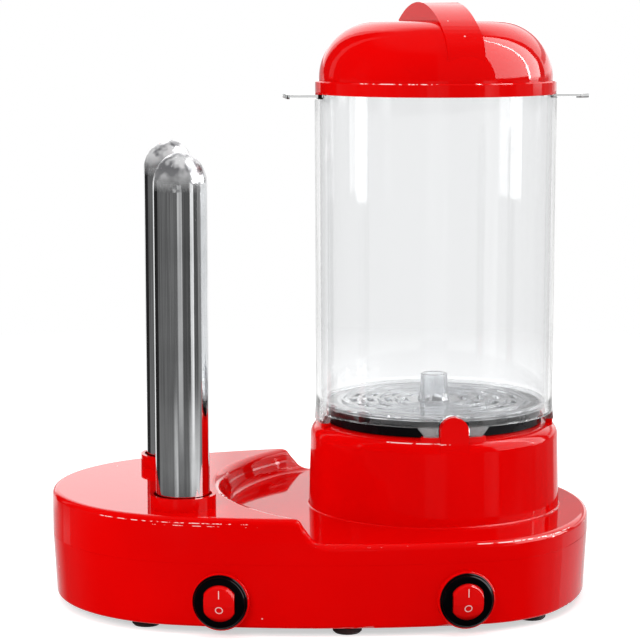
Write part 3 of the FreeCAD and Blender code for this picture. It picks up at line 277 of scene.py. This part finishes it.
def polished_steel():
    s = Shader("polished_steel", (0.80, 0.81, 0.82), 0.06, metallic=1.0)
    lengthwise = s.noise(900.0, 3.0, vector=s.stretched((1.0, 1.0, 0.02)))
    smear = s.noise(45.0, 4.0)
    patches = s.noise(140.0, 2.0)
    _, _, z = s.axes()
    dome = s.rise(z, DOME_Z)
    s.link(s.ramp(dome, 0.0, 1.0, 1.0, DOME_METAL), s.bsdf.inputs["Metallic"])
    worn = s.maths("MULTIPLY", dome, s.ramp(smear, 0.3, 0.7, 0.12, 0.20))
    s.roughen(s.maths("ADD", worn, s.ramp(lengthwise, 0.3, 0.8, 0.035, 0.13)))
    clean = s.mix_colour(s.ramp(smear, 0.4, 0.75), (0.83, 0.84, 0.85), (0.70, 0.71, 0.72))
    # Painted reflection: light and dark patches in the domes' colour, in place of what they reflect.
    painted_reflection = s.mix_colour(s.ramp(patches, 0.42, 0.58), DOME_PAINTED_LIGHT, DOME_PAINTED_DARK)
    s.paint(s.mix_colour(dome, clean, painted_reflection))
    waves = s.maths("MULTIPLY", s.all_of(patches, dome), DOME_WAVES)
    s.bump(s.maths("ADD", waves, s.maths("MULTIPLY", lengthwise, DRAWN_LINES)), MM, 1.0)
    return s.material


def moulded(name, colour, roughness, grain=500.0, depth=0.00001, gloss=0.5):
    s = Shader(name, colour, roughness)
    s.bsdf.inputs["Specular IOR Level"].default_value = gloss
    shade = tuple(0.75 * channel for channel in colour)
    s.paint(s.mix_colour(s.ramp(s.noise(30.0), 0.35, 0.7), colour, shade))
    s.roughen(s.ramp(s.noise(120.0, 4.0), 0.3, 0.8, roughness * 0.85, roughness * 1.3))
    s.bump(s.noise(grain, 3.0), depth, 0.6)
    return s.material


def metal(name, colour, roughness):
    s = Shader(name, colour, roughness, metallic=1.0)
    shade = tuple(0.7 * channel for channel in colour)
    fine = s.noise(500.0, 4.0)
    s.paint(s.mix_colour(s.ramp(s.noise(35.0), 0.35, 0.7), colour, shade))
    s.roughen(s.ramp(fine, 0.3, 0.8, roughness * 0.7, roughness * 1.4))
    s.bump(fine, 0.00001, 0.5)
    return s.material


def dress_cad():
    """Put a procedural material on every solid; returns them by name."""
    finishes = {
        "red_gloss_plastic": red_plastic(),
        "clear_plastic": clear_plastic("clear_plastic", (0.97, 0.975, 0.98), 0.0, 160.0, 0.00002,
                                       26.0, LEGS_TOP),
        "tray_plastic": clear_plastic("tray_plastic", (0.93, 0.94, 0.95), 0.05, 500.0, 0.00003,
                                      6.0),
        "polished_steel": polished_steel(),
        "black_plastic": moulded("black_plastic", (0.0012, 0.0010, 0.0016), 0.16, gloss=0.12),
        "rocker_red": moulded("rocker_red", (0.76, 0.0022, 0.0022), 0.12, gloss=0.20),
        "cover_plastic": moulded("cover_plastic", (0.03, 0.03, 0.033), 0.55, 900.0, 0.00004),
        "rubber": moulded("rubber", (0.035, 0.014, 0.014), 0.7, 700.0, 0.00003),
        "silicone": moulded("silicone", (0.03, 0.03, 0.033), 0.45),
        "pan_coating": moulded("pan_coating", (0.0015, 0.0015, 0.0025), 0.28, 800.0, 0.00002, 0.2),
        "zinc_steel": metal("zinc_steel", (0.60, 0.61, 0.62), 0.35),
        "heater_sheath": metal("heater_sheath", (0.30, 0.29, 0.28), 0.45),
        "ceramic": moulded("ceramic", (0.80, 0.78, 0.70), 0.6),
        "terminal_brass": metal("terminal_brass", (0.75, 0.58, 0.30), 0.3),
        "block_plastic": moulded("block_plastic", (0.80, 0.79, 0.74), 0.5),
    }
    for row in frame["record"]["subparts"]:
        name = row["node"]
        slot = "tray_plastic" if name == "steam_tray" else row["material_slot"]
        node = frame["nodes"][name]
        for index in range(len(node.material_slots)):
            node.material_slots[index].material = finishes[slot]
        if not node.material_slots:
            node.data.materials.append(finishes[slot])
    return finishes


# ---------------------------------------------------------------- stage
STUDIO_TURN = 7.4         # degrees; the studio faces the part a little from its left
SHARP = 1.2               # degrees over which one band of the studio fades to the next
FOOT_SOFT = 7.0           # the same for what the foot of the spikes sees
FLOOR_SOFT = 26.0         # and for what the base's walls see

# What polished faces see round the studio, level or a little below: a white wall behind,
# a black flag to its left, dim walls, a strip light at the front right and one behind the
# camera. Listed as: (degrees clockwise from straight behind the part, colour up to there).
LOW_BANDS = (
    (-170.0, (0.5, 0.5, 0.5)),
    (-70.0, (0.15, 0.15, 0.15)),
    (-35.0, (0.02, 0.02, 0.02)),
    (35.0, (1.0, 1.0, 1.0)),
    (100.0, (0.3, 0.3, 0.3)),
    (120.0, (0.1, 0.1, 0.1)),
    (135.0, (1.0, 1.0, 1.0)),
    (170.0, (0.1, 0.1, 0.1)),
    (180.0, (0.5, 0.5, 0.5)),
)
# Lower, where the foot of the spikes looks.
SPIKE_FOOT_BANDS = (
    (-165.0, (0.2, 0.2, 0.2)),
    (-150.0, (0.8, 0.8, 0.8)),
    (-70.0, (0.2, 0.2, 0.2)),
    (-35.0, (0.02, 0.02, 0.02)),
    (35.0, (1.0, 1.0, 1.0)),
    (95.0, (0.2, 0.2, 0.2)),
    (145.0, (0.8, 0.8, 0.8)),
    (180.0, (0.2, 0.2, 0.2)),
)
# Further down, where the walls of the base look.
FLOOR_BANDS = (
    (-80.0, (0.01, 0.01, 0.01)),
    (-34.0, (0.10, 0.10, 0.10)),
    (30.0, (0.75, 0.75, 0.75)),
    (62.0, (0.60, 0.60, 0.63)),
    (96.0, (0.25, 0.25, 0.27)),
    (180.0, (0.01, 0.01, 0.01)),
)
# Above eye level: a pale wall behind, a dark room in front.
HIGH_BANDS = (
    (-57.0, (0.03, 0.03, 0.03)),
    (-49.0, (0.35, 0.35, 0.35)),
    (-31.0, (0.02, 0.02, 0.02)),
    (-24.0, (0.9, 0.9, 0.9)),
    (48.0, (1.8, 1.8, 1.8)),
    (180.0, (0.12, 0.12, 0.12)),
)
# Windows and light strips: (bearings from, to, heights from, to, in degrees, strength).
WINDOWS = (
    (79.5, 122.0, 3.0, 62.0, 7.0),
    (57.0, 76.0, 1.0, 62.0, 8.0),
    (-30.0, -8.0, -2.5, 4.0, 0.45),
    (-3.5, 45.0, 8.5, 14.0, 1.25),
    (2.5, 45.0, 8.5, 14.0, 0.55),
    (76.0, 78.5, 1.0, 70.0, 40.0),
    (62.0, 77.0, -1.9, 1.0, 5.0),
    (-60.0, -48.0, -13.3, -12.5, 0.45),
)

WORLD_FILL = 0.55
WINDOW_BLUR = 1.0         # degrees
# Limits between the zones of the studio, as sines of the angle above the horizon.
FLOOR_VIEW = (sin(radians(-12.3)), sin(radians(-12.0)))  # the base's walls look below it
FOOT_VIEW = (sin(radians(-11.3)), sin(radians(-9.4)))    # the foot of the spikes below it
EYE_LEVEL = (-0.01, 0.03)
CEILING_VIEW = (0.75, 0.9)
CEILING = (0.20, 0.20, 0.20)
SECOND_GLINT = 0.35       # share of the studio left in a reflection of a reflection
FLOOR_GLOW = 0.55
FLOOR_R = 6.0             # m
FLOOR_NEAR = 0.45         # m; from here outward the floor fades to plain white
FLOOR_FAR = 0.9


class Sky:
    """World shader: white to the eye, an even fill, and a studio for mirrors only."""

    def __init__(self):
        world = bpy.data.worlds.new("studio")
        bpy.context.scene.world = world
        world.use_nodes = True
        self.tree = world.node_tree
        self.background = self.tree.nodes["Background"]
        coordinates = self.tree.nodes.new("ShaderNodeTexCoord")
        rotate = self.tree.nodes.new("ShaderNodeVectorRotate")
        rotate.rotation_type = "Z_AXIS"
        rotate.inputs["Angle"].default_value = radians(STUDIO_TURN)
        self.link(coordinates.outputs["Generated"], rotate.inputs["Vector"])
        parts = self.tree.nodes.new("ShaderNodeSeparateXYZ")
        self.link(rotate.outputs["Vector"], parts.inputs["Vector"])
        self.height = parts.outputs["Z"]
        self.bearing = self.maths("ARCTAN2", parts.outputs["X"], parts.outputs["Y"])

    def link(self, source, target):
        self.tree.links.new(source, target)

    def maths(self, operation, a, b):
        node = self.tree.nodes.new("ShaderNodeMath")
        node.operation = operation
        for socket, value in zip(node.inputs, (a, b)):
            if isinstance(value, (int, float)):
                socket.default_value = value
            else:
                self.link(value, socket)
        return node.outputs["Value"]

    def step(self, value, low, high):
        node = self.tree.nodes.new("ShaderNodeMapRange")
        node.inputs["From Min"].default_value = low
        node.inputs["From Max"].default_value = high
        self.link(value, node.inputs["Value"])
        return node.outputs["Result"]

    def mix(self, factor, a, b):
        node = self.tree.nodes.new("ShaderNodeMix")
        node.data_type = "RGBA"
        node.clamp_result = False
        self.link(factor, node.inputs["Factor"])
        for socket, value in ((node.inputs[6], a), (node.inputs[7], b)):
            if isinstance(value, tuple):
                socket.default_value = (*value, 1.0)
            else:
                self.link(value, socket)
        return node.outputs[2]

    def bands(self, rows, blur):
        """Colours side by side round the horizon, each fading into the next."""
        colour = rows[0][1]
        for (edge, _), (_, after) in zip(rows, rows[1:]):
            low = radians(edge - blur / 2.0)
            high = radians(edge + blur / 2.0)
            colour = self.mix(self.step(self.bearing, low, high), colour, after)
        return colour

    def patchy(self, colour):
        """The colour lighter and darker in soft patches, wider than they are high."""
        place = self.tree.nodes.new("ShaderNodeCombineXYZ")
        self.link(self.maths("MULTIPLY", self.bearing, 9.0), place.inputs["X"])
        self.link(self.maths("MULTIPLY", self.height, 14.0), place.inputs["Y"])
        noise = self.tree.nodes.new("ShaderNodeTexNoise")
        noise.inputs["Scale"].default_value = 1.0
        noise.inputs["Detail"].default_value = 5.0
        self.link(place.outputs["Vector"], noise.inputs["Vector"])
        gain = self.maths("ADD", self.maths("MULTIPLY", noise.outputs["Fac"], 2.0), -0.05)
        return self.scaled(colour, gain)

    def scaled(self, colour, gain):
        node = self.tree.nodes.new("ShaderNodeVectorMath")
        node.operation = "SCALE"
        self.link(colour, node.inputs[0])
        self.link(gain, node.inputs["Scale"])
        return node.outputs["Vector"]

    def between(self, value, low, high, blur):
        rise = self.step(value, low - blur / 2.0, low + blur / 2.0)
        fall = self.step(value, high + blur / 2.0, high - blur / 2.0)
        return self.maths("MULTIPLY", rise, fall)

    def window(self, colour, left, right, low, high, strength):
        blur = radians(WINDOW_BLUR)
        across = self.between(self.bearing, radians(left), radians(right), blur)
        up = self.between(self.height, sin(radians(low)), sin(radians(high)), blur)
        inside = self.maths("MULTIPLY", across, up)
        return self.mix(inside, colour, (strength, strength, strength))


def make_world():
    """One zone of the studio above the other, then its windows, then who sees what."""
    sky = Sky()
    studio = sky.mix(sky.step(sky.height, *FLOOR_VIEW),
                     sky.bands(FLOOR_BANDS, FLOOR_SOFT),
                     sky.bands(SPIKE_FOOT_BANDS, FOOT_SOFT))
    studio = sky.mix(sky.step(sky.height, *FOOT_VIEW), studio,
                     sky.patchy(sky.bands(LOW_BANDS, SHARP)))
    studio = sky.mix(sky.step(sky.height, *EYE_LEVEL), studio, sky.bands(HIGH_BANDS, SHARP))
    studio = sky.mix(sky.step(sky.height, *CEILING_VIEW), studio, CEILING)
    for row in WINDOWS:
        studio = sky.window(studio, *row)
    path = sky.tree.nodes.new("ShaderNodeLightPath")
    mirrored = sky.maths("GREATER_THAN", path.outputs["Glossy Depth"], 0.5)
    through = path.outputs["Is Transmission Ray"]
    in_mirror = sky.maths("MAXIMUM", path.outputs["Is Glossy Ray"],
                          sky.maths("MULTIPLY", through, mirrored))
    seen = sky.maths("MAXIMUM", path.outputs["Is Camera Ray"],
                     sky.maths("MULTIPLY", through, sky.maths("SUBTRACT", 1.0, mirrored)))
    fill = (WORLD_FILL, WORLD_FILL, WORLD_FILL)
    again = sky.maths("GREATER_THAN", path.outputs["Glossy Depth"], 1.5)
    gain = sky.maths("SUBTRACT", 1.0, sky.maths("MULTIPLY", again, 1.0 - SECOND_GLINT))
    colour = sky.mix(in_mirror, fill, sky.scaled(studio, gain))
    colour = sky.mix(seen, colour, (1.0, 1.0, 1.0))
    sky.link(colour, sky.background.inputs["Color"])


def make_floor():
    mesh = bpy.data.meshes.new("floor")
    bm = bmesh.new()
    bmesh.ops.create_circle(bm, cap_ends=True, radius=FLOOR_R, segments=96)
    bm.to_mesh(mesh)
    bm.free()
    floor = bpy.data.objects.new("floor", mesh)
    bpy.context.scene.collection.objects.link(floor)
    floor.visible_glossy = False
    s = Shader("floor", (0.80, 0.80, 0.80), 0.9)
    s.bsdf.inputs["Specular IOR Level"].default_value = 0.0
    path = s.add("ShaderNodeLightPath")
    seen = s.maths("MAXIMUM", path.outputs["Is Camera Ray"], path.outputs["Is Transmission Ray"])
    near = s.add("ShaderNodeEmission")
    s.link(s.maths("MULTIPLY", seen, FLOOR_GLOW), near.inputs["Strength"])
    lit = s.add("ShaderNodeAddShader")
    s.link(s.bsdf.outputs["BSDF"], lit.inputs[0])
    s.link(near.outputs["Emission"], lit.inputs[1])
    white = s.add("ShaderNodeEmission")
    reach = s.add("ShaderNodeVectorMath", operation="LENGTH")
    s.link(s.where, reach.inputs[0])
    far = s.ramp(reach.outputs["Value"], FLOOR_NEAR, FLOOR_FAR)
    fade = s.add("ShaderNodeMixShader")
    s.link(s.maths("MULTIPLY", far, seen), fade.inputs[0])
    s.link(lit.outputs["Shader"], fade.inputs[1])
    s.link(white.outputs["Emission"], fade.inputs[2])
    s.link(fade.outputs["Shader"], s.tree.nodes["Material Output"].inputs["Surface"])
    mesh.materials.append(s.material)


def soft_light(name, at, target, size, power):
    data = bpy.data.lights.new(name, "AREA")
    data.shape = "RECTANGLE"
    data.size, data.size_y = size
    data.energy = power
    light = bpy.data.objects.new(name, data)
    bpy.context.scene.collection.objects.link(light)
    light.location = at
    way = Vector(target) - Vector(at)
    light.rotation_euler = way.to_track_quat("-Z", "Y").to_euler()
    light.visible_glossy = False


def make_lights():
    middle = (0.0, 0.0, 0.12)
    soft_light("top", (0.0, -0.1, 1.6), middle, (1.6, 1.2), 10.0)
    soft_light("front_left", (-0.9, -1.3, 0.9), middle, (0.7, 0.5), 8.0)
    soft_light("left", (-1.3, 0.0, 0.5), middle, (0.5, 0.9), 4.0)
    soft_light("right", (1.3, -0.35, 0.5), middle, (0.35, 0.9), 5.0)


# ---------------------------------------------------------------- small pieces
TUBE_X = 53.7             # steamer axis; all sizes of the pieces in mm
MARK_T = 0.05             # thickness of the printed switch marks
MARK_UP = 4.1             # middle of the I above the switch's middle
MARK_H = 3.7
MARK_W = 0.38
ROCKER_OUT = 6.303        # rocker's crest ahead of its pivot
ROCKER_CREST = 1.11       # and below it
ROCKER_LEAN = 20.0
RING_R = 1.75
RING_W = 0.40
RING_DOWN = 1.95          # middle of the O below the crest, along the face
PIVOT_DEPTH = 2.8         # boss face ahead of the pivot
BEZEL_FOOT = ((10.8, 0.0), (12.2, 0.0), (12.2, 0.35), (11.9, 0.75), (11.3, 0.95), (10.8, 0.95))
HANDLE_TOP_Z = 276.0
HANDLE_TOP_R = 80.0
HANDLE_END_R = 16.0
HANDLE_HALF_L = 48.0      # as in the solid
HANDLE_FOOT_L = 52.0      # with the foot that runs out on the dome
HANDLE_HALF_T = 8.52
HANDLE_LEAN = 30.0        # degrees from upright where the top arc meets the end arc
HANDLE_FOOT_LEAN = 34.2   # the same with the foot
HANDLE_SUNK = 1.0
HANDLE_TURN = 6.0         # degrees; the handle stands across the lid, turned a little
DOME_CORNER_Z = 241.4     # middle and radius of the round corner of the lid's dome
DOME_CORNER_X = 28.0
DOME_CORNER_R = 26.0
DOME_ANGLES = (47.0, 54.0, 61.0, 68.0)         # where the foot follows that corner
BASE_HALF_L = 125.4
BASE_END_R = 101.0
BASE_CORNER_R = 58.0
BASE_SIDE_R = 350.0
BASE_TURNS = (radians(40.0), radians(85.0))    # bearings where one arc meets the next
SEAM_FILL = (32.25, 32.55)                     # heights of the strip in the joint
SEAM_DEEP = 0.10          # filler's face behind the wall's
SEAM_T = 0.5
SEAM_OPEN_X = 108.0       # the joint stands open beyond this


def add_mesh(name, bm, material, body):
    bmesh.ops.recalc_face_normals(bm, faces=bm.faces)
    mesh = bpy.data.meshes.new(name)
    bm.to_mesh(mesh)
    bm.free()
    mesh.transform(Matrix.Scale(MM, 4))
    mesh.materials.append(material)
    obj = bpy.data.objects.new(name, mesh)
    bpy.context.scene.collection.objects.link(obj)
    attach(obj, body)
    return obj


def grid_mesh(rows, closed_u, closed_v):
    """Quads over rows of points, wrapped in either direction where asked."""
    bm = bmesh.new()
    verts = [[bm.verts.new(point) for point in row] for row in rows]
    n, m = len(rows), len(rows[0])
    for i in range(n if closed_u else n - 1):
        for k in range(m if closed_v else m - 1):
            a, b = verts[i], verts[(i + 1) % n]
            bm.faces.new((a[k], b[k], b[(k + 1) % m], a[(k + 1) % m]))
    for row in (() if closed_u else (verts[0], verts[-1])):
        bm.faces.new(row)
    return bm


def prism(points, way):
    """Solid between a closed outline and the same outline moved."""
    return grid_mesh([points, [point + way for point in points]], False, True)


def turned_ring(profile, centre, along, across):
    """Ring with that (radius, height) profile about the direction along."""
    up = along.cross(across)
    rows = []
    for step in range(96):
        angle = 2.0 * pi * step / 96
        out = across * cos(angle) + up * sin(angle)
        rows.append([centre + out * r + along * h for r, h in profile])
    return grid_mesh(rows, True, True)


def switch_pieces(side, print_ink, black):
    joint = next(j for j in frame["joints"] if j["name"] == side + "_rocker_tilt")
    pivot = Vector(joint["pos_m"]) / MM
    across = -Vector(joint["axis"])
    up = Vector((0.0, 0.0, 1.0))
    out = across.cross(up)
    lean = radians(ROCKER_LEAN)
    corner = pivot + out * ROCKER_OUT + up * (MARK_UP - MARK_H / 2.0) - across * MARK_W / 2.0
    stroke = [corner, corner + across * MARK_W, corner + across * MARK_W + up * MARK_H,
              corner + up * MARK_H]
    add_mesh("mark_on_" + side, prism(stroke, out * MARK_T), print_ink, side + "_rocker")
    down = -up * cos(lean) - out * sin(lean)
    face = out * cos(lean) - up * sin(lean)
    middle = pivot + out * ROCKER_OUT - up * ROCKER_CREST + down * RING_DOWN
    profile = ((RING_R, 0.0), (RING_R, MARK_T), (RING_R - RING_W, MARK_T), (RING_R - RING_W, 0.0))
    add_mesh("mark_off_" + side, turned_ring(profile, middle, face, across), print_ink,
             side + "_rocker")
    foot = turned_ring(BEZEL_FOOT, pivot + out * PIVOT_DEPTH, out, across)
    add_mesh("bezel_foot_" + side, foot, black, "base")


def handle_arc(half_l, r, start, end, count):
    """Points of the handle's end arc; angles in degrees from upright."""
    reach = half_l - HANDLE_END_R
    rise = ((HANDLE_TOP_R - HANDLE_END_R) ** 2 - reach ** 2) ** 0.5
    z = HANDLE_TOP_Z - HANDLE_TOP_R + rise
    points = []
    for step in range(count + 1):
        angle = radians(start + (end - start) * step / count)
        points.append((reach + r * sin(angle), z + r * cos(angle)))
    return points


def handle_feet(red):
    """The handle's two ends, run out further down the dome and sunk 1 mm into both."""
    top_z = HANDLE_TOP_Z - HANDLE_TOP_R
    outer = []
    for angle in (HANDLE_LEAN, (HANDLE_LEAN + HANDLE_FOOT_LEAN) / 2.0):
        a = radians(angle)
        outer.append((HANDLE_TOP_R * sin(a), top_z + HANDLE_TOP_R * cos(a)))
    outer += handle_arc(HANDLE_FOOT_L, HANDLE_END_R, HANDLE_FOOT_LEAN, 86.0, 14)
    inner = handle_arc(HANDLE_HALF_L, HANDLE_END_R - HANDLE_SUNK, HANDLE_LEAN, 56.0, 5)
    for angle in DOME_ANGLES:
        a = radians(angle)
        r = DOME_CORNER_R - HANDLE_SUNK
        inner.append((DOME_CORNER_X + r * sin(a), DOME_CORNER_Z + r * cos(a)))
    outline = outer + inner[::-1]
    turn = Matrix.Rotation(radians(HANDLE_TURN), 3, "Z")
    for name, side in (("handle_foot_front", -1.0), ("handle_foot_rear", 1.0)):
        points = []
        for y, z in outline:
            local = Vector((-HANDLE_HALF_T, side * y, z))
            points.append(turn @ local + Vector((TUBE_X, 0.0, 0.0)))
        way = turn @ Vector((2.0 * HANDLE_HALF_T, 0.0, 0.0))
        add_mesh(name, prism(points, way), red, "lid")


def base_outline(inset):
    """Points of the base's outline: tangent arcs at the ends, corners and sides."""
    half, end_r, corner_r, side_r = BASE_HALF_L, BASE_END_R, BASE_CORNER_R, BASE_SIDE_R
    t1, t2 = BASE_TURNS
    end_c = Vector((half - end_r, 0.0))
    corner_c = end_c + Vector((cos(t1), sin(t1))) * (end_r - corner_r)
    side_c = corner_c - Vector((cos(t2), sin(t2))) * (side_r - corner_r)
    run = side_c.x + half
    spike_r = (side_r ** 2 - run ** 2 - side_c.y ** 2) / (2.0 * (side_r - run))
    spike_c = Vector((spike_r - half, 0.0))
    meet = atan2(spike_c.y - side_c.y, spike_c.x - side_c.x)
    points = []
    for centre, r, start, end in ((end_c, end_r, 0.0, t1), (corner_c, corner_r, t1, t2),
                                  (side_c, side_r, t2, meet), (spike_c, spike_r, meet, pi)):
        for step in range(40):
            angle = start + (end - start) * step / 40
            points.append(centre + Vector((cos(angle), sin(angle))) * (r - inset))
    return points + [Vector((p.x, -p.y)) for p in reversed(points[1:])]


def seam_fill(red):
    """Strip that closes most of the joint between the two mouldings."""
    outside = base_outline(SEAM_DEEP)
    inside = base_outline(SEAM_DEEP + SEAM_T)
    start = next(i for i, p in enumerate(outside) if p.x < SEAM_OPEN_X)
    low, high = SEAM_FILL
    rows = []
    for a, b in list(zip(outside, inside))[start:len(outside) - start]:
        rows.append([Vector((p.x, p.y, z)) for p, z in ((a, low), (a, high), (b, high), (b, low))])
    add_mesh("seam_fill", grid_mesh(rows, False, True), red, "base")


# ---------------------------------------------------------------- build
make_camera()
make_world()
make_floor()
make_lights()
finishes = dress_cad()
ink = moulded("switch_print", (0.88, 0.62, 0.60), 0.4)
for side in ("left", "right"):
    switch_pieces(side, ink, finishes["black_plastic"])
handle_feet(finishes["red_gloss_plastic"])
seam_fill(finishes["red_gloss_plastic"])

scene = bpy.context.scene
scene.view_settings.view_transform = "Standard"
